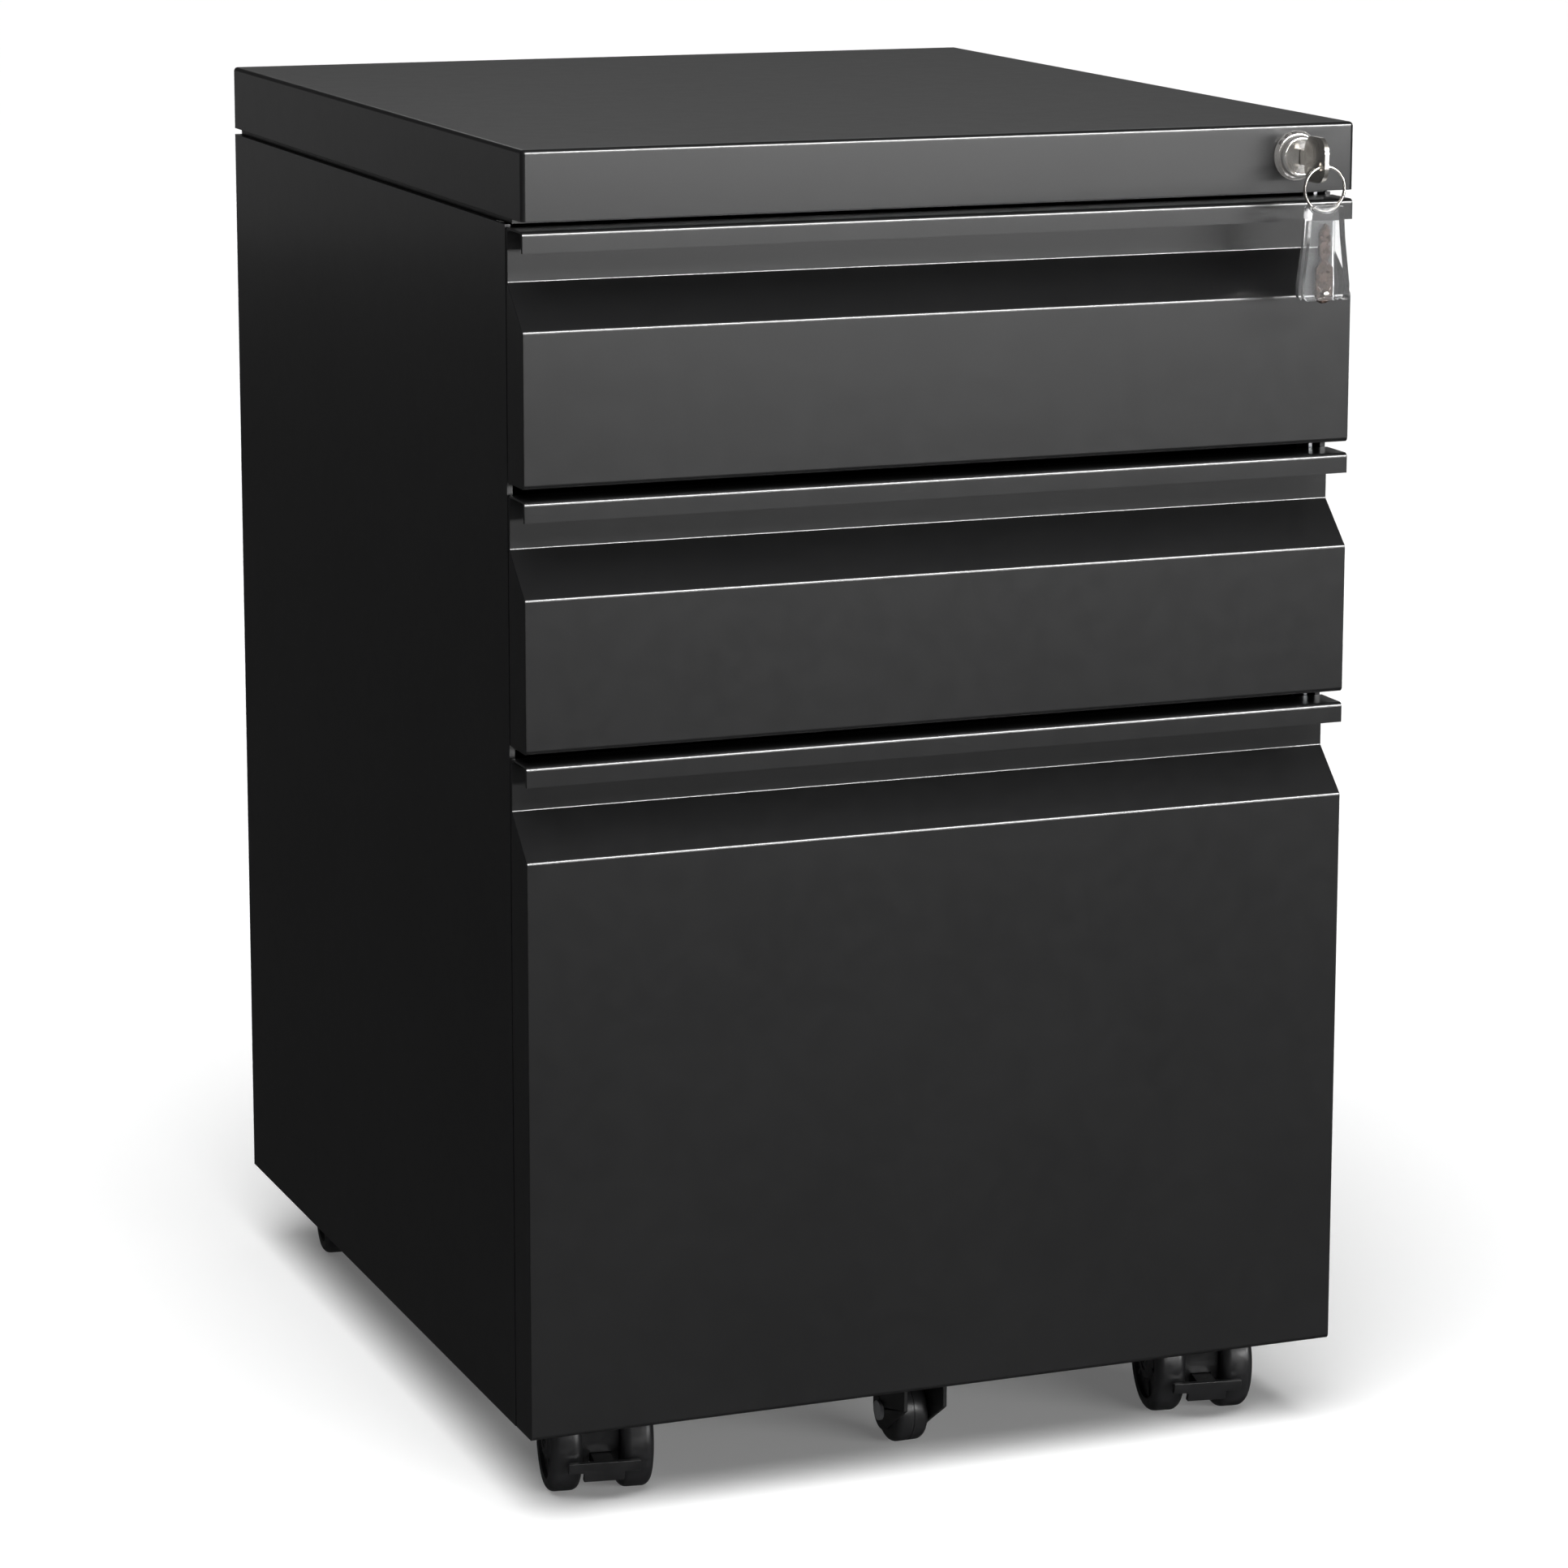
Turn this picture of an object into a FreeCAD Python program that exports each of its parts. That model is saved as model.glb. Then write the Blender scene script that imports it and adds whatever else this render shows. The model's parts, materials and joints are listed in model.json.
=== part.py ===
import FreeCAD, Part
import math
import os

import Sketcher

# Rolling pedestal cabinet: a steel carcass with two shallow drawers over a file drawer, on casters.
# +X is to the cabinet's right as seen from the front, the drawers open towards -Y, and +Z is up.
# The origin lies on the floor under the middle of the whole object.

# Every driving dimension, in millimetres or degrees: alias, value, meaning.
DIMENSIONS = (
    ("width", 386, "over the side panels and the lid"),
    ("depth", 450, "lid and side panels, from the front plane to the back"),
    ("height", 600, "floor to lid top"),
    ("front", -210, "y of the front plane of lid and drawers"),
    ("sheet", 1, "steel sheet thickness"),
    ("bend", 2.0, "outer radius of a fold"),
    ("lid_edge", 1.9, "radius of the lid's top edges"),
    ("side_edge", 0.45, "rounding of a drawer front's side edges"),
    ("lid_apron", 30, "height of the lid's sides"),
    ("lid_return", 2.5, "inward hem under the lid's sides"),
    ("lid_shadow", 3, "gap between lid and side panels"),
    ("skirt", 40, "floor to the bottom edge of the carcass"),
    ("lap", 1, "gap between a drawer front and the carcass"),
    ("carcass_return", 2.4, "width of the folded front edge of a side panel"),
    ("back_return", 16, "width of the folded back edge of a side panel"),
    ("return_start", 64, "z where the folded front edge of a side panel begins"),
    ("top_return", 15, "flange along the top of a side panel"),
    ("hem", 10, "height of the doubled bottom edge of a side panel"),
    ("base", 58, "z of the underside of the base panel"),
    ("base_upstand", 6, "height of the base panel's folded edges"),
    ("frame_inset", 3, "top frame, in from the side panels"),
    ("frame_return", 18, "inward flange along the top of the top frame"),
    ("lid_to_drawer", 4, "gap between the lid and the top drawer"),
    ("drawer_gap", 5, "gap between two drawer fronts"),
    ("shallow_front", 108.5, "height of a shallow drawer's front"),
    ("recess", 20, "depth of the finger recess"),
    ("lip", 9, "height of the turned-down pull lip"),
    ("recess_drop", 23.3, "drawer top to the fold where the recess begins to slope"),
    ("slope_angle", 46.9, "recess slope, from the vertical"),
    ("front_return", 12, "flange under a drawer front"),
    ("runner_space", 12.7, "side panel to drawer box"),
    ("box_lift", 4, "drawer front's bottom to the box's bottom, shallow drawers"),
    ("shallow_box", 56, "height of a shallow drawer's box"),
    ("file_box_bottom", 72, "z of the file drawer box's bottom"),
    ("file_box", 226, "height of the file drawer's box"),
    ("box_depth", 400, "drawer box, front to back"),
    ("box_rim", 5, "inward flange along the top of a drawer box"),
    ("runner_start", 43, "front plane to the runners' front end"),
    ("runner_length", 380, "length of every runner part"),
    ("runner_height", 35, "height of the fixed runner channel"),
    ("runner_sheet", 1.2, "runner thickness"),
    ("runner_play", 0.6, "space for the balls between two runner channels"),
    ("runner_reach", 6.8, "width of a runner channel's flanges"),
    ("runner_lift", 12, "drawer box bottom to the runner's lower edge"),
    ("rail_spread", 157, "centre plane to a file rail"),
    ("rail_height", 14, "height of a file rail"),
    ("rail_thick", 2.5, "thickness of a file rail"),
    ("lock_x", 164.5, "x of the lock's axis"),
    ("lock_z", 586, "z of the lock's axis"),
    ("barrel_r", 9.2, "radius of the lock housing's barrel"),
    ("barrel_proud", 6, "barrel, ahead of the lid"),
    ("barrel_edge", 1, "chamfer of the barrel's front edge"),
    ("bezel_r", 11, "radius of the lock's bezel"),
    ("bezel_thick", 2.2, "bezel, ahead of the lid"),
    ("bezel_slope", 1.4, "chamfer of the bezel"),
    ("plug_r", 7.4, "radius of the turning plug"),
    ("fit", 0.1, "radial clearance of a shaft in its hole"),
    ("plug_proud", 5.6, "plug face ahead of the lid"),
    ("plug_length", 29, "plug, front face to cam"),
    ("nut_thick", 5, "lock nut"),
    ("nut_flats", 24, "lock nut across flats"),
    ("crank", 8, "lock axis to crank pin"),
    ("crank_pin_r", 1.5, "radius of the crank pin"),
    ("cam_thick", 2, "cam plate"),
    ("cam_screw_r", 3.3, "radius of the cam screw's head"),
    ("fork_start", 3, "cam's front to the lock bar's fork"),
    ("prong", 3.2, "height of a fork prong"),
    ("fork_play", 0.4, "clearance between crank pin and fork"),
    ("bar_x", 186.5, "x of the lock bar's inner face"),
    ("bar_thick", 2, "lock bar thickness"),
    ("bar_wide", 12, "lock bar, front to back"),
    ("bar_start", 25.5, "front plane to the lock bar's front edge"),
    ("bar_bottom", 215, "z of the lock bar's bottom"),
    ("tooth_reach", 5, "lock bar tooth, towards the drawers"),
    ("tooth_high", 10, "height of a lock bar tooth"),
    ("tooth_deep", 3, "lock bar tooth, front to back"),
    ("guide_rise", 30, "top drawer's catch to the upper guide"),
    ("guide_drop", 60, "file drawer's catch to the lower guide"),
    ("catch_reach", 5, "catch, out from the drawer box"),
    ("catch_gap", 1.3, "tooth to catch at rest"),
    ("key_thick", 2, "key thickness"),
    ("bow", 20, "height and length of the key's bow"),
    ("bow_round", 7, "corner radius of the key's bow"),
    ("bow_start", 10, "front plane to the bow"),
    ("key_blade", 20, "key blade inside the plug"),
    ("key_blade_tall", 6.4, "height of the key's blade"),
    ("keyway_play", 0.25, "clearance around the key's blade"),
    ("ring_r", 9.65, "key ring, centre of the wire"),
    ("wire_r", 0.75, "key ring wire radius"),
    ("ring_x", 165.6, "x of the key ring's centre"),
    ("ring_y", -236, "y of the key ring's plane"),
    ("ring_z", 573.9, "z of the key ring's centre"),
    ("ring_hole_r", 1.8, "radius of the ring's hole in the bow"),
    ("groove_r", 1.3, "radius of the ring's hole in the spare key handle"),
    ("fob_top", 566.9, "z of the spare key handle's top"),
    ("fob_long", 41.5, "spare key handle, top to bottom"),
    ("fob_thick", 8, "spare key handle, front to back"),
    ("fob_top_wide", 15, "spare key handle's width at the top"),
    ("fob_wide", 22, "spare key handle's width at the bottom"),
    ("fob_notch", 9, "gap between the handle's two feet"),
    ("fob_waist", 14.5, "spare key handle's top to its waist"),
    ("fob_foot", 7, "height of the handle's feet"),
    ("fob_slot", 2.6, "thickness of the slot for the spare key"),
    ("fob_spine", 4.5, "middle of the handle to its closed side"),
    ("spare_thick", 1.8, "spare key thickness"),
    ("spare_long", 31, "pivot to the spare key's tip"),
    ("spare_wide", 6, "width of the spare key's blade"),
    ("knuckle_r", 4.2, "radius of the spare key's root"),
    ("pivot_rise", 2.6, "handle's bottom to the pivot"),
    ("pivot_r", 1.2, "radius of the pivot pin"),
    ("caster_side", 46.3, "side panel to a swivel axis"),
    ("caster_front", 58.7, "front plane to the front swivel axes"),
    ("caster_back", 397.3, "front plane to the back swivel axes"),
    ("trail", 16, "swivel axis to wheel axle"),
    ("front_swing", -10, "turn of the front casters at rest"),
    ("back_swing", 172, "turn of the back casters at rest"),
    ("wheel_r", 25, "caster wheel radius"),
    ("wheel_wide", 14.5, "caster wheel width"),
    ("wheel_gap", 17.4, "space between the two wheels of a caster"),
    ("tread_round", 4, "rounding of a wheel's tread edge"),
    ("dish", 3, "depth of the dished wheel face"),
    ("hub_r", 8, "radius of a wheel's hub"),
    ("rim_r", 19, "inner radius of a wheel's rim"),
    ("hood_wide", 16.4, "caster hood thickness between the wheels"),
    ("hood_r", 17, "radius of the caster hood's round part"),
    ("brow_front", 17, "axle to the front of the caster hood's brow"),
    ("brow_low", 27, "z of the underside of the caster hood's brow"),
    ("brow_top", 46, "z of the top of the caster hood's brow"),
    ("hood_top", 54.5, "z of the caster hood's top"),
    ("neck_r", 8, "radius of the caster hood's swivel neck"),
    ("axle_r", 3, "radius of a caster's axle"),
    ("stem_r", 4, "radius of a caster's stem"),
    ("stem_bottom", 36, "z of a caster stem's lower end"),
    ("collar_r", 9, "radius of a caster stem's collar"),
    ("collar_thick", 2.5, "thickness of a caster stem's collar"),
    ("plate_wide", 50, "side of a caster's nut plate"),
    ("plate_thick", 2, "thickness of a caster's nut plate"),
    ("nut_high", 4, "height of a stem's nut"),
    ("lever_gap", 2, "tread to brake lever"),
    ("lever_thick", 3, "brake lever thickness"),
    ("lever_wide", 32, "brake lever, side to side"),
    ("lever_low", 16, "z of the underside of the brake lever's bar"),
    ("lever_high", 21, "z of the top of the brake lever's bar"),
    ("lever_arm", 9, "width of the brake lever's arm"),
    ("lever_eye_r", 6, "radius of the brake lever's eye round the axle"),
    ("lever_play", 0.4, "clearance between the brake lever's arm and the hood"),
    ("lever_drop", 10, "room under the brake lever's arm in the hood"),
    ("lever_tab", 18, "width of the tab under the brake lever's bar"),
    ("lever_tab_low", 11.5, "z of the underside of the brake lever's tab"),
    ("tilt_r", 15, "anti-tilt wheel radius"),
    ("tilt_wide", 15.5, "anti-tilt wheel width"),
    ("tilt_lift", 1, "floor to the anti-tilt wheel"),
    ("tilt_back", 47, "front plane to the anti-tilt wheel's axle"),
    ("tilt_play", 0.8, "anti-tilt wheel to its bracket"),
    ("tilt_sheet", 2, "anti-tilt bracket thickness"),
    ("tilt_round", 3.5, "rounding of the anti-tilt wheel's edges"),
    ("tilt_cheek_r", 9, "radius of the anti-tilt bracket's cheeks"),
    ("tilt_cheek_front", 28, "anti-tilt axle to the cheeks' front edge"),
    ("tilt_cheek_low", 24, "z where the cheeks' front edge begins to slope back"),
    ("tilt_plate", 54, "width of the anti-tilt bracket's plate"),
    ("tilt_plate_z", 53, "z of the underside of the anti-tilt bracket's plate"),
    ("tilt_flange", 28, "height of the anti-tilt bracket's front flange"),
    ("tilt_axle_r", 2.5, "radius of the anti-tilt wheel's axle"),
    ("rivet_r", 4.5, "radius of the anti-tilt axle's heads"),
    ("rivet_head", 1.6, "thickness of the anti-tilt axle's heads"),
)

SHEET_NAME = "Sizes"
BAD_STATES = ("Invalid", "Error")
TINY = 0.01
# A hexagon's corner radius as a share of its width across flats.
HEXAGON_CORNER = 1 / math.sqrt(3)
# How far the middle of a quarter round lies inside its square corner, as a share of the radius.
ARC_INSET = 1 - math.sqrt(0.5)

doc = FreeCAD.newDocument("pedestal_cabinet")
pieces = []


class Size:
    """A number together with the spreadsheet expression that gives it."""

    def __init__(self, value, text):
        self.value = value
        self.text = text

    def __add__(self, other):
        other = as_size(other)
        return Size(self.value + other.value, f"({self.text} + {other.text})")

    def __sub__(self, other):
        other = as_size(other)
        return Size(self.value - other.value, f"({self.text} - {other.text})")

    def __mul__(self, other):
        other = as_size(other)
        return Size(self.value * other.value, f"({self.text} * {other.text})")

    def __truediv__(self, other):
        other = as_size(other)
        return Size(self.value / other.value, f"({self.text} / {other.text})")

    def __neg__(self):
        return Size(-self.value, f"(0 - {self.text})")

    def __radd__(self, other):
        return as_size(other) + self

    def __rsub__(self, other):
        return as_size(other) - self

    def __rmul__(self, other):
        return as_size(other) * self


def as_size(number):
    return number if isinstance(number, Size) else Size(float(number), f"({number:.9g})")


def tangent(angle):
    return Size(math.tan(math.radians(angle.value)), f"tan({angle.text})")


def sine(angle):
    return Size(math.sin(math.radians(angle.value)), f"sin({angle.text})")


def cosine(angle):
    return Size(math.cos(math.radians(angle.value)), f"cos({angle.text})")


class Sheet:
    """The document's spreadsheet: each alias becomes an attribute that holds a Size."""

    def __init__(self):
        cells = doc.addObject("Spreadsheet::Sheet", SHEET_NAME)
        for row, (alias, value, meaning) in enumerate(DIMENSIONS, start=1):
            cells.set(f"A{row}", alias)
            cells.set(f"B{row}", str(value))
            cells.set(f"C{row}", meaning)
            cells.setAlias(f"B{row}", alias)
            setattr(self, alias, Size(float(value), f"{SHEET_NAME}.{alias}"))
        doc.recompute()


s = Sheet()
ZERO = as_size(0)

# Planes that several pieces share.
half_width = s.width / 2
back = s.front + s.depth
inner_x = half_width - s.sheet
lid_bottom = s.height - s.lid_apron
side_top = lid_bottom - s.lid_shadow
recess_front = s.front + s.recess
recess_back = recess_front + s.sheet
carcass_front = recess_back + s.lap
box_x = inner_x - s.runner_space
runner_front = s.front + s.runner_start
drawer_1_top = lid_bottom - s.lid_to_drawer
drawer_1_bottom = drawer_1_top - s.shallow_front
drawer_2_top = drawer_1_bottom - s.drawer_gap
drawer_2_bottom = drawer_2_top - s.shallow_front
drawer_3_top = drawer_2_bottom - s.drawer_gap
pin_angle = as_size(45)


# ---------------------------------------------------------------- helpers

def bind(item, **sizes):
    """Tie properties of an object to the spreadsheet."""
    for name, size in sizes.items():
        item.setExpression(name, as_size(size).text)


def place(item, x=0, y=0, z=0, axis=None, angle=None):
    """Put an object at a bound position, turned about an axis through that position."""
    if axis is not None:
        angle = as_size(angle)
        item.Placement = FreeCAD.Placement(FreeCAD.Vector(0, 0, 0), FreeCAD.Rotation(axis, angle.value))
        item.setExpression("Placement.Rotation.Angle", f"({angle.text}) * 1 deg")
    for letter, size in (("x", x), ("y", y), ("z", z)):
        item.setExpression(f"Placement.Base.{letter}", as_size(size).text)
    return item


def span(low, high):
    low = as_size(low)
    return low, as_size(high) - low


def block(xs, ys, zs):
    """A box between three pairs of planes."""
    (x, length), (y, width), (z, height) = span(*xs), span(*ys), span(*zs)
    item = doc.addObject("Part::Box", "Block")
    bind(item, Length=length, Width=width, Height=height)
    return place(item, x, y, z)


X_AXIS = FreeCAD.Vector(1, 0, 0)
Y_AXIS = FreeCAD.Vector(0, 1, 0)
Z_AXIS = FreeCAD.Vector(0, 0, 1)


def rod(axis, radius, ends, x=0, y=0, z=0):
    """A cylinder along X, Y or Z between two planes; the other two coordinates are its centre."""
    low, length = span(*ends)
    item = doc.addObject("Part::Cylinder", "Rod")
    bind(item, Radius=radius, Height=length)
    if axis == "x":
        return place(item, low, y, z, Y_AXIS, 90)
    if axis == "y":
        return place(item, x, low, z, X_AXIS, -90)
    return place(item, x, y, low)


def fuse(*items):
    item = doc.addObject("Part::MultiFuse", "Union")
    item.Shapes = list(items)
    item.Refine = True
    return item


def cut(base, *tools):
    item = doc.addObject("Part::Cut", "Cut")
    item.Base = base
    item.Tool = tools[0] if len(tools) == 1 else fuse(*tools)
    return item


def group(*items):
    """Several separate solids in one piece."""
    item = doc.addObject("Part::Compound", "Group")
    item.Links = list(items)
    return item


def mirrored(source):
    item = doc.addObject("Part::Mirroring", "Mirror")
    item.Source = source
    item.Normal = X_AXIS
    return item


def pair(source):
    return group(source, mirrored(source))


def piece(label, item):
    """Register a finished piece; its label names its file."""
    item.Label = label
    pieces.append(item)
    return item


def new_body():
    return doc.addObject("PartDesign::Body", "Body")


def sketch_on(body, role, shift, outline=None, circles=()):
    """A sketch on a plane parallel to one of the body's origin planes, every point bound."""
    sketch = body.newObject("Sketcher::SketchObject", "Sketch")
    plane = next(o for o in body.Origin.OriginFeatures if o.Role == role)
    sketch.AttachmentSupport = [(plane, "")]
    sketch.MapMode = "FlatFace"
    sketch.setExpression("AttachmentOffset.Base.z", as_size(shift).text)
    if outline:
        draw_outline(sketch, [(as_size(u), as_size(v)) for u, v in outline])
    for u, v, radius in circles:
        draw_circle(sketch, as_size(u), as_size(v), as_size(radius))
    return sketch


def fix(sketch, geometry, point, u, v):
    for kind, size in (("DistanceX", u), ("DistanceY", v)):
        index = sketch.addConstraint(Sketcher.Constraint(kind, -1, 1, geometry, point, size.value))
        sketch.setExpression(f"Constraints[{index}]", size.text)


def draw_outline(sketch, points):
    count = len(points)
    for (u1, v1), (u2, v2) in zip(points, points[1:] + points[:1]):
        start = FreeCAD.Vector(u1.value, v1.value, 0)
        end = FreeCAD.Vector(u2.value, v2.value, 0)
        sketch.addGeometry(Part.LineSegment(start, end))
    for i in range(count):
        sketch.addConstraint(Sketcher.Constraint("Coincident", i, 2, (i + 1) % count, 1))
    for i, (u, v) in enumerate(points):
        fix(sketch, i, 1, u, v)


def draw_circle(sketch, u, v, radius):
    centre = FreeCAD.Vector(u.value, v.value, 0)
    index = sketch.addGeometry(Part.Circle(centre, Z_AXIS, radius.value))
    fix(sketch, index, 3, u, v)
    row = sketch.addConstraint(Sketcher.Constraint("Radius", index, radius.value))
    sketch.setExpression(f"Constraints[{row}]", radius.text)


def volume(body):
    body.recompute(True)
    return 0 if body.Shape.isNull() else body.Shape.Volume


def extrude(body, role, ends, outline=None, circles=(), remove=False):
    """Pad or pocket an outline between two planes across the named origin plane's axis."""
    low, length = span(*ends)
    shift = -as_size(ends[1]) if role == "XZ_Plane" else low
    before = volume(body) if remove else 0
    sketch = sketch_on(body, role, shift, outline, circles)
    kind = "PartDesign::Pocket" if remove else "PartDesign::Pad"
    feature = body.newObject(kind, "Feature")
    feature.Profile = sketch
    feature.Type = "Length"
    feature.Reversed = remove
    bind(feature, Length=length)
    body.Tip = feature
    if remove and volume(body) >= before:
        raise ValueError("a pocket removed nothing")
    return feature


def turn(body, role, axis_name, outline):
    """Revolve an outline about one of its sketch's axes."""
    sketch = sketch_on(body, role, 0, outline)
    feature = body.newObject("PartDesign::Revolution", "Revolution")
    feature.Profile = sketch
    feature.ReferenceAxis = (sketch, [axis_name])
    return feature


def mirror_feature(body, original):
    feature = body.newObject("PartDesign::Mirrored", "Mirrored")
    feature.Originals = [original]
    plane = next(o for o in body.Origin.OriginFeatures if o.Role == "YZ_Plane")
    feature.MirrorPlane = (plane, [""])
    body.Tip = feature
    return feature


def runs_through(edge, u, v, letters):
    """True for a straight edge square to the sketch plane that passes through (u, v)."""
    ends = [vertex.Point for vertex in edge.Vertexes]
    return len(ends) == 2 and all(
        abs(getattr(end, letters[0]) - u.value) < TINY and abs(getattr(end, letters[1]) - v.value) < TINY
        for end in ends
    )


def add_fillet(body, names, radius):
    base = body.Tip
    feature = body.newObject("PartDesign::Fillet", "Fillet")
    feature.Base = (base, names)
    bind(feature, Radius=radius)
    body.Tip = feature


def round_folds(body, letters, radii):
    """Round the edges square to a plane: radii lists (u, v, radius)."""
    by_radius = {}
    for u, v, radius in radii:
        by_radius.setdefault(radius.text, (radius, []))[1].append((as_size(u), as_size(v)))
    for radius, corners in by_radius.values():
        body.recompute(True)
        names = [
            f"Edge{i}"
            for i, edge in enumerate(body.Shape.Edges, start=1)
            if any(runs_through(edge, u, v, letters) for u, v in corners)
        ]
        if len(names) < len(corners):
            raise ValueError("an edge to round was not found")
        add_fillet(body, names, radius)


# ---------------------------------------------------------------- carcass

def side_panel():
    """The right side panel: one sheet folded in at front, back and top, with a doubled bottom edge."""
    body = new_body()
    outer, inner = half_width, inner_x
    extrude(body, "XY_Plane", (s.skirt, side_top), [
        (outer, carcass_front), (outer, back), (outer - s.back_return, back),
        (outer - s.back_return, back - s.sheet), (inner, back - s.sheet), (inner, carcass_front),
    ])
    round_folds(body, "xy", [(outer, back, s.bend), (inner, back - s.sheet, s.bend - s.sheet)])
    extrude(body, "XY_Plane", (s.return_start, side_top), [
        (inner, carcass_front), (inner, carcass_front + s.sheet),
        (outer - s.carcass_return, carcass_front + s.sheet), (outer - s.carcass_return, carcass_front),
    ])
    flange_front = s.front + s.bar_start + s.bar_wide + s.bar_thick
    extrude(body, "XY_Plane", (side_top - s.sheet, side_top), [
        (inner, flange_front), (inner, back - s.sheet),
        (inner - s.top_return, back - s.sheet), (inner - s.top_return, flange_front),
    ])
    extrude(body, "XY_Plane", (s.skirt, s.skirt + s.hem), [
        (inner, carcass_front), (inner, back - s.sheet),
        (inner - s.sheet, back - s.sheet), (inner - s.sheet, carcass_front),
    ])
    return body


def back_panel():
    """A sheet inside the side panels' back folds, folded in along its bottom edge."""
    face = back - s.sheet
    half = inner_x - s.bend
    wall = block((-half, half), (face - s.sheet, face), (s.skirt, side_top - s.sheet))
    lower = block(
        (-inner_x + s.plate_wide, inner_x - s.plate_wide), (face - s.hem, face - s.sheet),
        (s.skirt, s.skirt + s.sheet),
    )
    return fuse(wall, lower)


def caster_places():
    """The four swivel axes: name, x, y and the turn at rest."""
    x = half_width - s.caster_side
    front_y = s.front + s.caster_front
    back_y = s.front + s.caster_back
    return (
        ("front_left", -x, front_y, s.front_swing),
        ("front_right", x, front_y, s.front_swing),
        ("back_left", -x, back_y, s.back_swing),
        ("back_right", x, back_y, s.back_swing),
    )


def base_panel():
    """The floor of the carcass, folded up along all four edges and holed for the caster stems."""
    x = inner_x
    y_low, y_high = carcass_front + s.sheet, back - s.sheet - s.sheet
    tray = block((-x, x), (y_low, y_high), (s.base, s.base + s.base_upstand))
    inside = block(
        (-x + s.sheet, x - s.sheet), (y_low + s.sheet, y_high - s.sheet),
        (s.base + s.sheet, s.base + s.base_upstand + s.sheet),
    )
    holes = [rod("z", s.stem_r, (s.base - s.sheet, s.base + s.sheet * 2), x=x, y=y)
             for name, x, y, swing in caster_places()]
    return cut(tray, inside, *holes)


def top_frame():
    """A ring of folded sheet that stands on the side panels and carries the lid."""
    x = half_width - s.frame_inset
    y_low, y_high = carcass_front, back - s.frame_inset
    top = s.height - s.sheet
    ring = block((-x, x), (y_low, y_high), (side_top, top))
    inside = block(
        (-x + s.sheet, x - s.sheet), (y_low + s.sheet, y_high - s.sheet),
        (side_top - 1, top - s.sheet),
    )
    opening = block(
        (-x + s.frame_return, x - s.frame_return), (y_low + s.frame_return, y_high - s.frame_return),
        (side_top - 1, s.height),
    )
    hole = rod("y", s.barrel_r + s.sheet, (y_low - 1, y_low + s.sheet * 2), x=s.lock_x, z=s.lock_z)
    return cut(ring, inside, opening, hole)


def top_cover():
    """The lid: a pan of sheet with folded edges, an inward flange and the lock's hole."""
    body = new_body()
    x, y_low, y_high = half_width, s.front, back
    extrude(body, "XY_Plane", (lid_bottom, s.height), [(-x, y_low), (x, y_low), (x, y_high), (-x, y_high)])
    corners = [(u, v, s.bend) for u in (-x, x) for v in (y_low, y_high)]
    round_folds(body, "xy", corners)
    round_top(body)
    inset = s.sheet
    extrude(body, "XY_Plane", (lid_bottom + s.sheet, s.height - s.sheet), [
        (-x + inset, y_low + inset), (x - inset, y_low + inset),
        (x - inset, y_high - inset), (-x + inset, y_high - inset),
    ], remove=True)
    inset = s.lid_return
    extrude(body, "XY_Plane", (lid_bottom - 1, lid_bottom + s.sheet * 2), [
        (-x + inset, y_low + inset), (x - inset, y_low + inset),
        (x - inset, y_high - inset), (-x + inset, y_high - inset),
    ], remove=True)
    extrude(body, "XZ_Plane", (y_low - 1, y_low + s.sheet * 2),
            circles=[(s.lock_x, s.lock_z, s.barrel_r)], remove=True)
    return body


def round_top(body):
    """Round the lid's upper outer edges."""
    body.recompute(True)
    top = s.height.value
    names = [
        f"Edge{i}"
        for i, edge in enumerate(body.Shape.Edges, start=1)
        if all(abs(vertex.Point.z - top) < TINY for vertex in edge.Vertexes)
    ]
    add_fillet(body, names, s.lid_edge)


def caster_mountings():
    """Nut plates and nuts on the base panel, and the stems that hang from it."""
    plates = []
    stems = []
    top = s.base + s.sheet
    for name, x, y, swing in caster_places():
        half = s.plate_wide / 2
        plate = block((x - half, x + half), (y - half, y + half), (top, top + s.plate_thick))
        nut = rod("z", s.stem_r * 2, (top + s.plate_thick, top + s.plate_thick + s.nut_high), x=x, y=y)
        hole = rod("z", s.stem_r, (top - 1, top + s.plate_thick + s.nut_high + 1), x=x, y=y)
        plates.append(cut(fuse(plate, nut), hole))
        shaft = rod("z", s.stem_r, (s.stem_bottom, top + s.plate_thick + s.nut_high), x=x, y=y)
        collar = rod("z", s.collar_r, (s.base - s.collar_thick, s.base), x=x, y=y)
        stems.append(fuse(shaft, collar))
    return group(*plates), group(*stems)


def build_carcass():
    right = side_panel()
    piece("right_side_panel", right)
    piece("left_side_panel", mirrored(right))
    piece("back_panel", back_panel())
    piece("base_panel", base_panel())
    piece("top_frame", top_frame())
    piece("top_cover", top_cover())
    plates, stems = caster_mountings()
    piece("caster_nut_plates", plates)
    piece("caster_stems", stems)


# ---------------------------------------------------------------- drawers

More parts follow.
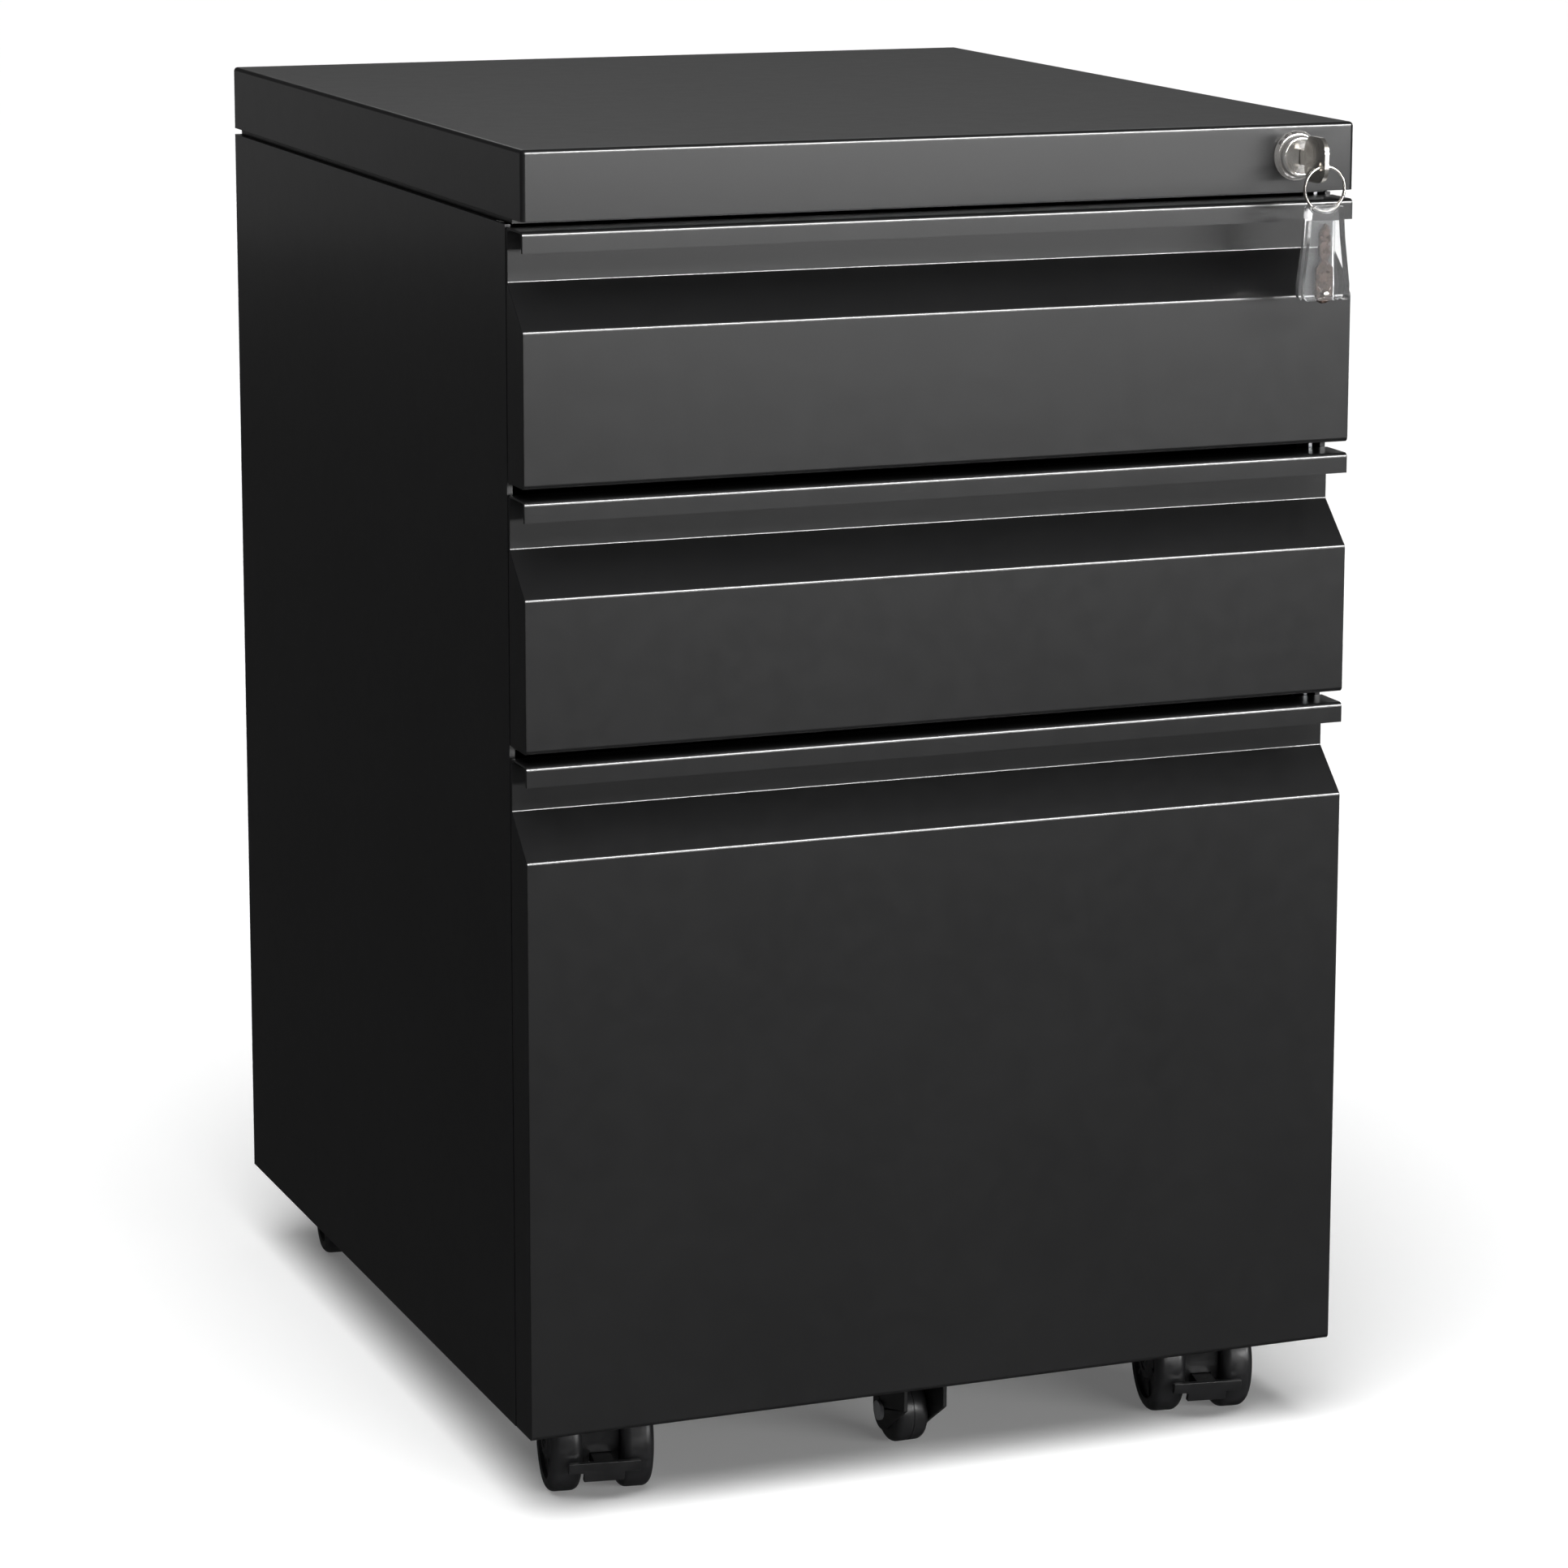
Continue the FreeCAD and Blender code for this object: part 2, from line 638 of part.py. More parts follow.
def drawer_front(top, bottom):
    """One folded sheet: pull lip, recess wall, slope, face, and a flange at the bottom and both sides."""
    body = new_body()
    t = s.sheet
    slope_high = s.recess / tangent(s.slope_angle)
    miter = t * tangent(s.slope_angle / 2)
    fold = top - s.recess_drop
    crease = fold - slope_high
    sheet_line = [
        (s.front, top - s.lip), (s.front, top), (recess_back, top), (recess_back, fold - miter),
        (s.front + t, crease - miter), (s.front + t, bottom + t), (s.front + s.front_return, bottom + t),
        (s.front + s.front_return, bottom), (s.front, bottom), (s.front, crease), (recess_front, fold),
        (recess_front, top - t), (s.front + t, top - t), (s.front + t, top - s.lip),
    ]
    extrude(body, "YZ_Plane", (-half_width, half_width), sheet_line)
    cheek = extrude(body, "YZ_Plane", (inner_x, half_width), [
        (s.front, bottom), (recess_back, bottom), (recess_back, fold - miter), (recess_front, fold),
        (s.front, crease),
    ])
    mirror_feature(body, cheek)
    outer = [(s.front, top), (recess_back, top), (s.front, bottom), (s.front, crease),
             (recess_back, fold - miter)]
    inner = [(s.front + t, top - t), (recess_front, top - t), (s.front + t, bottom + t),
             (s.front + t, crease - miter), (recess_front, fold)]
    round_folds(body, "yz", [(u, v, s.bend) for u, v in outer] + [(u, v, s.bend - t) for u, v in inner])
    round_folds(body, "xy", [(-half_width, s.front, s.side_edge), (half_width, s.front, s.side_edge)])
    return body


def drawer_box(low, high, wall_top):
    """The drawer's tray, open at the top, with an inward rim and a taller wall behind the front."""
    t = s.sheet
    y_low, y_high = recess_back, recess_back + s.box_depth
    outside = block((-box_x, box_x), (y_low, y_high), (low, high))
    inside = block((-box_x + t, box_x - t), (y_low + t, y_high - t), (low + t, high - t))
    mouth = block(
        (-box_x + s.box_rim, box_x - s.box_rim), (y_low + t, y_high - s.box_rim),
        (low + t * 2, high + t),
    )
    wall = block((-box_x, box_x), (y_low, y_low + t), (low, wall_top))
    return fuse(cut(outside, inside, mouth), wall)


def channel(x_web, x_open, thickness, half_high, middle_z):
    """A runner channel on the right side: a web at x_web with two flanges that reach to x_open."""
    body = new_body()
    towards_open = 1 if x_open.value > x_web.value else -1
    inner_web = x_web + thickness * towards_open
    low, high = middle_z - half_high, middle_z + half_high
    extrude(body, "XZ_Plane", (runner_front, runner_front + s.runner_length), [
        (x_web, low), (x_open, low), (x_open, low + thickness), (inner_web, low + thickness),
        (inner_web, high - thickness), (x_open, high - thickness), (x_open, high), (x_web, high),
    ])
    return body


def runner_channels(box_low, full_extension):
    """A drawer's fixed and drawer channels, and the middle channel that full extension needs."""
    step = s.runner_sheet + s.runner_play
    half_high = s.runner_height / 2
    middle_z = box_low + s.runner_lift + half_high
    fixed = channel(inner_x, inner_x - s.runner_reach, s.runner_sheet, half_high, middle_z)
    steps_in = 2 if full_extension else 1
    moving = channel(box_x, box_x + s.runner_reach, s.runner_sheet, half_high - step * steps_in, middle_z)
    if not full_extension:
        return fixed, moving, None
    web = inner_x - step
    middle = channel(web, web - s.runner_reach, s.runner_sheet, half_high - step, middle_z)
    return fixed, moving, middle


def catch(box_high):
    """A tab on the right wall of the box, just behind the lock bar's tooth."""
    t = s.sheet
    y_low = s.front + s.bar_start + s.bar_wide / 2
    ends = (box_high - s.tooth_high, box_high)
    tab = block((box_x, box_x + s.catch_reach), (y_low, y_low + t * 2), ends)
    foot = block((box_x, box_x + t), (y_low, y_low + s.tooth_high / 2), ends)
    return fuse(tab, foot)


def build_drawers():
    """Each drawer: front, box, catch and its runners. Returns the z of each catch's top."""
    levels = (
        ("top", drawer_1_top, drawer_1_bottom, drawer_1_bottom + s.box_lift, s.shallow_box),
        ("middle", drawer_2_top, drawer_2_bottom, drawer_2_bottom + s.box_lift, s.shallow_box),
        ("file", drawer_3_top, s.skirt, s.file_box_bottom, s.file_box),
    )
    outers = []
    catch_tops = []
    for name, top, bottom, box_low, box_high in levels:
        high = box_low + box_high
        piece(f"{name}_drawer_front", drawer_front(top, bottom))
        piece(f"{name}_drawer_box", drawer_box(box_low, high, top - s.sheet * 2))
        piece(f"{name}_drawer_catch", catch(high))
        catch_tops.append(high)
        fixed, moving, middle = runner_channels(box_low, name == "file")
        outers.extend([fixed, mirrored(fixed)])
        piece(f"{name}_runner_inners", pair(moving))
        if middle:
            piece(f"{name}_runner_middles", pair(middle))
    piece("runner_outers", group(*outers))
    rail_low = s.file_box_bottom + s.file_box
    rail = block(
        (s.rail_spread, s.rail_spread + s.rail_thick),
        (recess_back + s.sheet, recess_back + s.box_depth - s.box_rim),
        (rail_low - s.sheet, rail_low + s.rail_height),
    )
    hook = block(
        (s.rail_spread, s.rail_spread + s.rail_thick),
        (recess_back + s.box_depth - s.box_rim, recess_back + s.box_depth),
        (rail_low, rail_low + s.rail_height),
    )
    piece("file_rails", pair(fuse(rail, hook)))
    return catch_tops


# ---------------------------------------------------------------- anti-tilt wheel

def build_anti_tilt():
    """A small wheel in a U bracket behind the file drawer's front; it rolls out with that drawer."""
    t = s.tilt_sheet
    y_axle = s.front + s.tilt_back
    z_axle = s.tilt_lift + s.tilt_r
    inside = s.tilt_wide / 2 + s.tilt_play
    plate_top = s.tilt_plate_z + t
    half = s.tilt_plate / 2
    plate_back = y_axle + s.tilt_cheek_r
    plate_front = s.front + s.sheet
    plate = block((-half, half), (plate_front, plate_back), (s.tilt_plate_z, plate_top))
    flange = block((-half, half), (plate_front, plate_front + t), (s.tilt_plate_z, plate_top + s.tilt_flange))
    web = new_body()
    cheek_front = y_axle - s.tilt_cheek_front
    extrude(web, "YZ_Plane", (inside, inside + t), [
        (plate_back, s.tilt_plate_z + t), (cheek_front, s.tilt_plate_z + t), (cheek_front, s.tilt_cheek_low),
        (y_axle - s.tilt_cheek_r * cosine(pin_angle), z_axle - s.tilt_cheek_r * sine(pin_angle)),
        (y_axle, z_axle), (plate_back, z_axle),
    ])
    nose = rod("x", s.tilt_cheek_r, (inside, inside + t), y=y_axle, z=z_axle)
    cheek = fuse(web, nose)
    cheeks = (cheek, mirrored(cheek))
    hole = rod("x", s.tilt_axle_r, (-half, half), y=y_axle, z=z_axle)
    piece("anti_tilt_bracket", cut(fuse(plate, flange, *cheeks), hole))
    end = inside + t
    shaft = rod("x", s.tilt_axle_r, (-end, end), y=y_axle, z=z_axle)
    heads = [rod("x", s.rivet_r, ends, y=y_axle, z=z_axle)
             for ends in ((end, end + s.rivet_head), (-end - s.rivet_head, -end))]
    piece("anti_tilt_axle", fuse(shaft, *heads))
    half_wheel = s.tilt_wide / 2
    wheel = new_body()
    rounding = s.tilt_round
    chord = rounding * ARC_INSET
    turn(wheel, "XY_Plane", "H_Axis", [
        (-half_wheel, s.tilt_axle_r + s.fit), (half_wheel, s.tilt_axle_r + s.fit),
        (half_wheel, s.tilt_r - rounding), (half_wheel - chord, s.tilt_r - chord),
        (half_wheel - rounding, s.tilt_r), (-half_wheel + rounding, s.tilt_r),
        (-half_wheel + chord, s.tilt_r - chord), (-half_wheel, s.tilt_r - rounding),
    ])
    piece("anti_tilt_wheel", place(wheel, 0, y_axle, z_axle))


# ---------------------------------------------------------------- casters

def caster_hood(with_brake):
    """The block between the two wheels: round around the axle, with the swivel neck on top."""
    half = s.hood_wide / 2
    y, z = -s.trail, s.wheel_r
    drum = rod("x", s.hood_r, (-half, half), y=y, z=z)
    brow = block((-half, half), (y - s.brow_front, s.neck_r), (s.brow_low, s.brow_top))
    neck = rod("z", s.neck_r, (z, s.hood_top))
    axle_hole = rod("x", s.axle_r, (-half * 2, half * 2), y=y, z=z)
    stem_hole = rod("z", s.stem_r + s.fit, (s.stem_bottom - s.sheet, s.hood_top + s.sheet))
    holes = [axle_hole, stem_hole]
    if with_brake:
        slot = s.lever_arm / 2 + s.lever_play
        holes.append(rod("x", s.lever_eye_r + s.lever_play, (-slot, slot), y=y, z=z))
        slot_ends = (s.lever_low - s.lever_drop, s.lever_high + s.lever_play)
        holes.append(block((-slot, slot), (y - s.wheel_r, y + s.lever_eye_r), slot_ends))
    return cut(fuse(drum, brow, neck), *holes)


def caster_wheel():
    """One wheel of a pair, to the right of the hood: rounded tread, dished outer face and hub."""
    body = new_body()
    inside = s.wheel_gap / 2
    outside = inside + s.wheel_wide
    bore = s.axle_r + s.fit
    rounding = s.tread_round
    chord = rounding * ARC_INSET
    turn(body, "XY_Plane", "H_Axis", [
        (inside, bore), (outside, bore), (outside, s.hub_r), (outside - s.dish, s.hub_r + s.dish / 3),
        (outside - s.dish, s.rim_r), (outside, s.rim_r + s.dish / 2),
        (outside, s.wheel_r - rounding), (outside - chord, s.wheel_r - chord),
        (outside - rounding, s.wheel_r), (inside + rounding, s.wheel_r),
        (inside + chord, s.wheel_r - chord), (inside, s.wheel_r - rounding),
    ])
    return place(body, 0, -s.trail, s.wheel_r)


def brake_lever():
    """A curved pedal bar across both treads, on an arm that turns about the axle inside the hood."""
    near = s.wheel_r + s.lever_gap
    far = near + s.lever_thick
    half = s.lever_wide / 2
    arm_half = s.lever_arm / 2
    y, z = -s.trail, s.wheel_r
    shell = cut(rod("x", far, (-half, half), y=y, z=z), rod("x", near, (-half * 2, half * 2), y=y, z=z))
    window = block((-half, half), (y - far * 2, y), (s.lever_low, s.lever_high))
    bar = doc.addObject("Part::MultiCommon", "Bar")
    bar.Shapes = [shell, window]
    arm = block((-arm_half, arm_half), (y - near, y), (s.lever_low, s.lever_high))
    eye = rod("x", s.lever_eye_r, (-arm_half, arm_half), y=y, z=z)
    axle_room = rod("x", s.axle_r + s.fit, (-half, half), y=y, z=z)
    tab_half = s.lever_tab / 2
    tab_window = block((-tab_half, tab_half), (y - far * 2, y), (s.lever_tab_low, s.lever_low + s.sheet))
    tab = doc.addObject("Part::MultiCommon", "Tab")
    tab.Shapes = [shell, tab_window]
    return cut(fuse(bar, tab, arm, eye), axle_room)


def build_casters():
    """Four twin-wheel casters; the front two carry a brake lever."""
    for name, x, y, swing in caster_places():
        axle_end = s.wheel_gap / 2 + s.wheel_wide - s.sheet
        axle = rod("x", s.axle_r, (-axle_end, axle_end), y=-s.trail, z=s.wheel_r)
        parts = [
            ("caster_hood", group(caster_hood(name.startswith("front")))),
            ("caster_axle", group(axle)),
            ("caster_wheels", pair(caster_wheel())),
        ]
        if name.startswith("front"):
            parts.append(("brake_lever", group(brake_lever())))
        for kind, item in parts:
            piece(f"{kind}_{name}", place(item, x, y, 0, Z_AXIS, swing))


# ---------------------------------------------------------------- lock and keys

def build_lock(catch_tops):
    """Housing, nut, turning plug, cam with its crank pin, and the lock bar that the pin lifts."""
    front = s.front
    bore = s.plug_r + s.fit
    housing = new_body()
    face = front - s.barrel_proud
    step = front - s.bezel_thick
    turn(housing, "XY_Plane", "V_Axis", [
        (bore, face), (s.barrel_r - s.barrel_edge, face), (s.barrel_r, face + s.barrel_edge),
        (s.barrel_r, step), (s.bezel_r - s.bezel_slope, step), (s.bezel_r, step + s.bezel_slope),
        (s.bezel_r, front), (s.barrel_r, front), (s.barrel_r, recess_front), (bore, recess_front),
    ])
    piece("lock_housing", place(housing, s.lock_x, 0, s.lock_z))
    nut_back = front + s.sheet + s.nut_thick
    nut = new_body()
    flat = s.nut_flats / 2
    corner = s.nut_flats * HEXAGON_CORNER
    hexagon = [(corner, ZERO), (corner / 2, flat), (-corner / 2, flat), (-corner, ZERO),
               (-corner / 2, -flat), (corner / 2, -flat)]
    extrude(nut, "XZ_Plane", (front + s.sheet, nut_back), hexagon)
    extrude(nut, "XZ_Plane", (front, nut_back + 1), circles=[(0, 0, s.barrel_r)], remove=True)
    piece("lock_nut", place(nut, s.lock_x, 0, s.lock_z))
    build_plug()
    build_lock_bar(catch_tops)


def cam_front():
    return s.front - s.plug_proud + s.plug_length


def build_plug():
    plug_face = s.front - s.plug_proud
    neck_r = s.plug_r / 2
    plug = rod("y", s.plug_r, (plug_face, recess_front), x=s.lock_x, z=s.lock_z)
    neck = rod("y", neck_r, (recess_front, cam_front()), x=s.lock_x, z=s.lock_z)
    half_thick = s.key_thick / 2 + s.keyway_play
    half_tall = s.key_blade_tall / 2 + s.keyway_play
    keyway = block(
        (s.lock_x - half_thick, s.lock_x + half_thick), (plug_face - 1, s.front + s.key_blade - 1),
        (s.lock_z - half_tall, s.lock_z + half_tall),
    )
    piece("lock_plug", cut(fuse(plug, neck), keyway))
    cam_back = cam_front() + s.cam_thick
    disc = rod("y", s.plug_r, (cam_front(), cam_back), x=s.lock_x, z=s.lock_z)
    pin_x = s.lock_x + s.crank * cosine(pin_angle)
    pin_z = s.lock_z + s.crank * sine(pin_angle)
    tip = rod("y", s.crank_pin_r * 2, (cam_front(), cam_back), x=pin_x, z=pin_z)
    pin = rod("y", s.crank_pin_r, (cam_back, cam_back + s.cam_thick * 2), x=pin_x, z=pin_z)
    piece("lock_cam", fuse(disc, tip, pin))
    screw = rod("y", s.cam_screw_r, (cam_back, cam_back + s.cam_thick), x=s.lock_x, z=s.lock_z)
    piece("cam_screw", screw)


def build_lock_bar(catch_tops):
    """A flat bar behind the right front edge: a fork round the crank pin and a tooth for each drawer."""
    y_low = s.front + s.bar_start
    y_high = y_low + s.bar_wide
    pin_x = s.lock_x + s.crank * cosine(pin_angle)
    pin_z = s.lock_z + s.crank * sine(pin_angle)
    fork_front = cam_front() + s.fork_start
    fork_back = fork_front + s.bar_thick
    slot = s.crank_pin_r + s.fork_play
    bar = block((s.bar_x, s.bar_x + s.bar_thick), (y_low, y_high), (s.bar_bottom, pin_z + slot + s.prong))
    prongs = [
        block((pin_x - s.crank_pin_r, s.bar_x), (fork_front, fork_back), ends)
        for ends in ((pin_z + slot, pin_z + slot + s.prong), (pin_z - slot - s.prong, pin_z - slot))
    ]
    bridge = block((s.bar_x - s.bar_wide / 2, s.bar_x), (fork_front, fork_back), (pin_z - slot, pin_z + slot))
    teeth = []
    for top in catch_tops:
        low = top + s.catch_gap
        ends = (low, low + s.tooth_high)
        teeth.append(block((s.bar_x - s.tooth_reach, s.bar_x), (y_low, y_low + s.tooth_deep), ends))
    piece("lock_bar", fuse(bar, bridge, *prongs, *teeth))
    guides = []
    guide_front = y_high + s.fork_play
    for low in (catch_tops[0] + s.guide_rise, catch_tops[2] - s.guide_drop):
        ends = (low, low + s.tooth_high)
        guides.append(block((s.bar_x - s.sheet, inner_x), (guide_front, guide_front + s.sheet), ends))
    piece("lock_bar_guides", group(*guides))


def build_key():
    """The key in the lock, its ring, and the folding spare key in its clear handle."""
    y_bow = s.front - s.bow_start
    half = s.key_thick / 2
    high = s.bow / 2
    key = new_body()
    ends = (-half, half)
    y_end = y_bow - s.bow
    extrude(key, "YZ_Plane", ends, [(y_bow, -high), (y_bow, high), (y_end, high), (y_end, -high)])
    radius = s.bow_round
    round_folds(key, "yz", [(y_bow, -high, radius), (y_bow, high, radius), (y_end, -high, radius),
                            (y_end, high, radius)])
    tall = s.key_blade_tall / 2
    blade_end = s.front + s.key_blade - s.sheet * 2
    extrude(key, "YZ_Plane", ends, [
        (y_bow - s.sheet, -tall), (blade_end - tall, -tall), (blade_end, ZERO), (blade_end - tall, tall),
        (y_bow - s.sheet, tall),
    ])
    hole_z = ring_hole_z()
    extrude(key, "YZ_Plane", (-s.key_thick, s.key_thick),
            circles=[(s.ring_y, hole_z - s.lock_z, s.ring_hole_r)], remove=True)
    piece("key", place(key, s.lock_x, 0, s.lock_z))
    piece("key_ring", ring(s.wire_r))
    build_fob()


def ring_hole_z():
    """The ring crosses the key's plane off its centre, a little below its top."""
    across = s.ring_x - s.lock_x
    rise = math.sqrt(s.ring_r.value ** 2 - across.value ** 2)
    return s.ring_z + Size(rise, f"sqrt({s.ring_r.text} ^ 2 - {across.text} ^ 2)")


def ring(wire):
    torus = doc.addObject("Part::Torus", "Ring")
    bind(torus, Radius1=s.ring_r, Radius2=wire)
    return place(torus, s.ring_x, s.ring_y, s.ring_z, X_AXIS, 90)


def build_fob():
    x, y = s.ring_x, s.ring_y
    top = s.fob_top
    bottom = top - s.fob_long
    thick = s.fob_thick / 2
    small, wide, notch = s.fob_top_wide / 2, s.fob_wide / 2, s.fob_notch / 2
    waist = top - s.fob_waist
    handle = new_body()
    extrude(handle, "XZ_Plane", (y - thick, y + thick), [
        (x - small, top), (x + small, top), (x + small + s.sheet, waist), (x + wide, bottom + s.fob_foot),
        (x + wide, bottom), (x + notch, bottom), (x + notch, bottom + s.fob_foot),
        (x - notch, bottom + s.fob_foot), (x - notch, bottom), (x - wide, bottom),
        (x - wide, bottom + s.fob_foot), (x - small - s.sheet, waist),
    ])
    round_folds(handle, "xz", [
        (x - small, top, s.bend), (x + small, top, s.bend),
        (x - wide, bottom, s.bend), (x + wide, bottom, s.bend),
    ])
    pivot_z = bottom + s.pivot_rise
    slot_half = s.fob_slot / 2
    extrude(handle, "XZ_Plane", (y - slot_half, y + slot_half), [
        (x - wide - 1, bottom - 1), (x + s.fob_spine, bottom - 1),
        (x + s.fob_spine, pivot_z + s.spare_long + 1), (x - wide - 1, pivot_z + s.spare_long + 1),
    ], remove=True)
    grooved = cut(handle, ring(s.groove_r))
    between = (x - notch, x + notch)
    foot = (bottom, bottom + s.fob_foot)
    front_web = block(between, (y - thick, y - slot_half - s.fit), foot)
    rear_web = block(between, (y + slot_half + s.fit, y + thick), foot)
    pin_hole = rod("y", s.pivot_r, (y - thick - 1, y + thick + 1), x=x, z=pivot_z)
    piece("spare_key_handle", cut(fuse(grooved, front_web, rear_web), pin_hole))
    piece("spare_key_pin", rod("y", s.pivot_r, (y - thick, y + thick), x=x, z=pivot_z))
    half = s.spare_thick / 2
    blade_half = s.spare_wide / 2
    tip_z = pivot_z + s.spare_long - blade_half
    blade = block((x - blade_half, x + blade_half), (y - half, y + half), (pivot_z, tip_z))
    tip = rod("y", blade_half, (y - half, y + half), x=x, z=tip_z)
    root = rod("y", s.knuckle_r, (y - half, y + half), x=x, z=pivot_z)
    bore = rod("y", s.pivot_r + s.fit, (y - thick, y + thick), x=x, z=pivot_z)
    piece("spare_key_blade", cut(fuse(blade, tip, root), bore))


# ---------------------------------------------------------------- check and write

def faults():
    """Every failed object of the document, and every piece whose shape can't be used."""
    found = [item.Label for item in doc.Objects if any(state in item.State for state in BAD_STATES)]
    for item in pieces:
        shape = item.Shape
        if shape.isNull() or not shape.isValid() or not shape.Solids:
            found.append(item.Label)
    return found


def main():
    build_carcass()
    catch_tops = build_drawers()
    build_anti_tilt()
    build_casters()
    build_lock(catch_tops)
    build_key()
    doc.recompute()
    wrong = faults()
    if wrong:
        raise ValueError("failed: " + ", ".join(wrong))
    os.makedirs("parts", exist_ok=True)
    for item in pieces:
        item.Shape.exportStep(os.path.join("parts", item.Label + ".step"))
        print(item.Label, len(item.Shape.Solids), round(item.Shape.Volume, 1))


main()
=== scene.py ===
import json
import math

import bmesh
import bpy
from mathutils import Matrix, Vector


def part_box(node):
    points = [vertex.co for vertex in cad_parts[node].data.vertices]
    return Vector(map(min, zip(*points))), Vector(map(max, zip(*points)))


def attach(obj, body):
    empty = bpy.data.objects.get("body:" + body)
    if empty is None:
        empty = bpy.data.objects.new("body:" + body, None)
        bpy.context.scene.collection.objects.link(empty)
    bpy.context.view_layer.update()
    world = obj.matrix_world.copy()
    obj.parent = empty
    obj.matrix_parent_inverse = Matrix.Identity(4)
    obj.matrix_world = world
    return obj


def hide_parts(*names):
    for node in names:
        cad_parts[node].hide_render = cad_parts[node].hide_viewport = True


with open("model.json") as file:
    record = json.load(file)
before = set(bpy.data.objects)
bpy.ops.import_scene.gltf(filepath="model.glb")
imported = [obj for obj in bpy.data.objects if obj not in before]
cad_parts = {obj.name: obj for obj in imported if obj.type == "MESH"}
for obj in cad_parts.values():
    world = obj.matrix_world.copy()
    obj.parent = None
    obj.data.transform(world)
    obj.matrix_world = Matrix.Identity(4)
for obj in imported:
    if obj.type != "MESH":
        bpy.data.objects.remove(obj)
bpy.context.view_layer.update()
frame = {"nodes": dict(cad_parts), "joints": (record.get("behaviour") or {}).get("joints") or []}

NODES = frame["nodes"]
JOINTS = {joint["name"]: joint for joint in frame["joints"]}
CORNERS = ("front_left", "front_right", "back_left", "back_right")
MM = 0.001


# ---------------------------------------------------------------- materials

class Finish:
    """A principled material with procedural detail, in metres of the object's own space."""

    def __init__(self, name, **sockets):
        self.material = bpy.data.materials.new(name)
        self.material.use_nodes = True
        self.nodes = self.material.node_tree.nodes
        self.links = self.material.node_tree.links
        self.surface = self.nodes["Principled BSDF"]
        self.position = self.nodes.new("ShaderNodeTexCoord").outputs["Object"]
        self.bumps = None
        for socket, value in sockets.items():
            self.surface.inputs[socket.replace("_", " ")].default_value = value

    def stretched(self, x, y, z):
        """The position scaled by a different amount along each axis."""
        mapping = self.nodes.new("ShaderNodeMapping")
        mapping.inputs["Scale"].default_value = (x, y, z)
        self.links.new(self.position, mapping.inputs["Vector"])
        return mapping.outputs["Vector"]

    def noise(self, size_mm, detail=2.0, position=None):
        """Noise whose features are about size_mm across."""
        node = self.nodes.new("ShaderNodeTexNoise")
        node.inputs["Scale"].default_value = 1 / (size_mm * MM)
        node.inputs["Detail"].default_value = detail
        self.links.new(position or self.position, node.inputs["Vector"])
        return node.outputs["Fac"]

    def cells(self, size_mm):
        node = self.nodes.new("ShaderNodeTexVoronoi")
        node.feature = "SMOOTH_F1"
        node.inputs["Scale"].default_value = 1 / (size_mm * MM)
        self.links.new(self.position, node.inputs["Vector"])
        return node.outputs["Distance"]

    def ranged(self, value, low, high, start=0.3, end=0.7):
        node = self.nodes.new("ShaderNodeMapRange")
        node.interpolation_type = "SMOOTHSTEP"
        for socket, number in (("From Min", start), ("From Max", end), ("To Min", low), ("To Max", high)):
            node.inputs[socket].default_value = number
        self.links.new(value, node.inputs["Value"])
        return node.outputs["Result"]

    def colours(self, value, stops):
        """Colour by value: stops lists (place, colour)."""
        ramp = self.nodes.new("ShaderNodeValToRGB")
        while len(ramp.color_ramp.elements) < len(stops):
            ramp.color_ramp.elements.new(0.5)
        for element, (place, colour) in zip(ramp.color_ramp.elements, stops):
            element.position = place
            element.color = (*colour, 1)
        self.links.new(value, ramp.inputs["Fac"])
        self.links.new(ramp.outputs["Color"], self.surface.inputs["Base Color"])

    def roughness(self, value, low, high):
        self.links.new(self.ranged(value, low, high), self.surface.inputs["Roughness"])

    def bump(self, value, height_mm, strength=1.0):
        node = self.nodes.new("ShaderNodeBump")
        node.inputs["Distance"].default_value = height_mm * MM
        node.inputs["Strength"].default_value = strength
        self.links.new(value, node.inputs["Height"])
        if self.bumps:
            self.links.new(self.bumps, node.inputs["Normal"])
        self.bumps = node.outputs["Normal"]
        self.links.new(self.bumps, self.surface.inputs["Normal"])


def powder_coat(name, dark, light, smoothest, roughest):
    """Baked satin powder: orange peel about a millimetre across, a finer grain and faint clouds."""
    finish = Finish(name, Coat_Weight=0.4, Coat_Roughness=0.15, IOR=1.5)
    clouds = finish.noise(60, 3)
    finish.colours(clouds, [(0.3, dark), (0.72, light)])
    finish.roughness(finish.noise(9, 5), smoothest, roughest)
    finish.bump(finish.noise(1.6, 1), 0.012)
    finish.bump(finish.cells(0.55), 0.004, 0.6)
    return finish.material


def plated_steel(name, dark, light, smoothest, roughest):
    """Zinc-plated sheet: brushed along its length with a cloudy crystal pattern."""
    finish = Finish(name, Metallic=0.7)
    brushed = finish.noise(0.5, 3, finish.stretched(1, 0.04, 1))
    finish.colours(finish.noise(9, 4), [(0.3, dark), (0.55, light), (0.75, dark)])
    finish.roughness(finish.noise(5, 4), smoothest, roughest)
    finish.bump(brushed, 0.006)
    return finish.material


def polished(name, metallic, dark, light, smoothest, roughest):
    """Plated metal under a milky bloom, with a slight waviness and hair-fine scratches."""
    finish = Finish(name, Metallic=metallic, IOR=1.6)
    finish.colours(finish.noise(4, 2), [(0.3, dark), (0.6, light)])
    finish.roughness(finish.noise(3, 2), smoothest, roughest)
    finish.bump(finish.noise(5, 1), 0.008, 0.4)
    finish.bump(finish.noise(0.3, 1, finish.stretched(1, 1, 0.08)), 0.0003, 0.2)
    return finish.material


